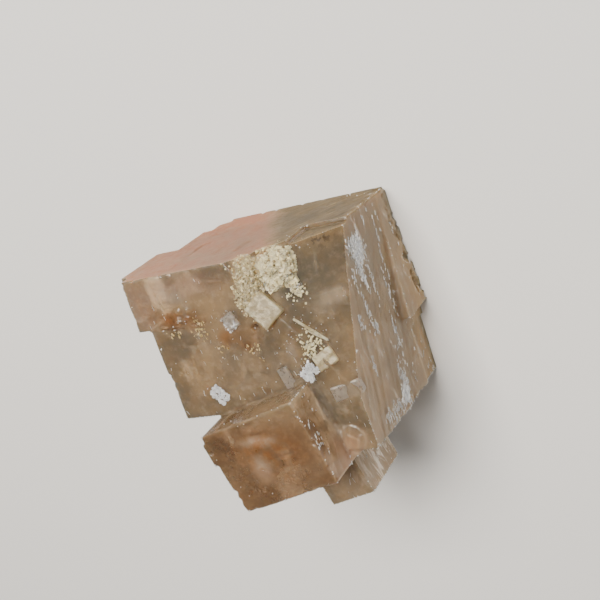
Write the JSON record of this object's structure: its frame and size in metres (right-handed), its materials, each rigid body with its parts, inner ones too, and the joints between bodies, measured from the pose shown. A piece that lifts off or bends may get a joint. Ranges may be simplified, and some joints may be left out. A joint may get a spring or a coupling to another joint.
{
  "type": "halite cubic crystal",
  "caption": "Group of intergrown halite cubes with a stepped broken corner, a granular crust and a flat back to lie on.",
  "frame": {"origin": "middle of the bounding box's bottom, on the flat back face that the group lies on", "axes": "+X and +Y along the main block's edges, +Z out of its front face; the second crystal is towards -Y"},
  "size_m": [0.0366, 0.0418, 0.0333],
  "materials": {
    "halite": "translucent pinkish-brown rock salt, glossy on cleavage faces and frosty on broken edges"
  },
  "bodies": {
    "root": {"halite_crystal": "halite"}
  },
  "joints": []
}
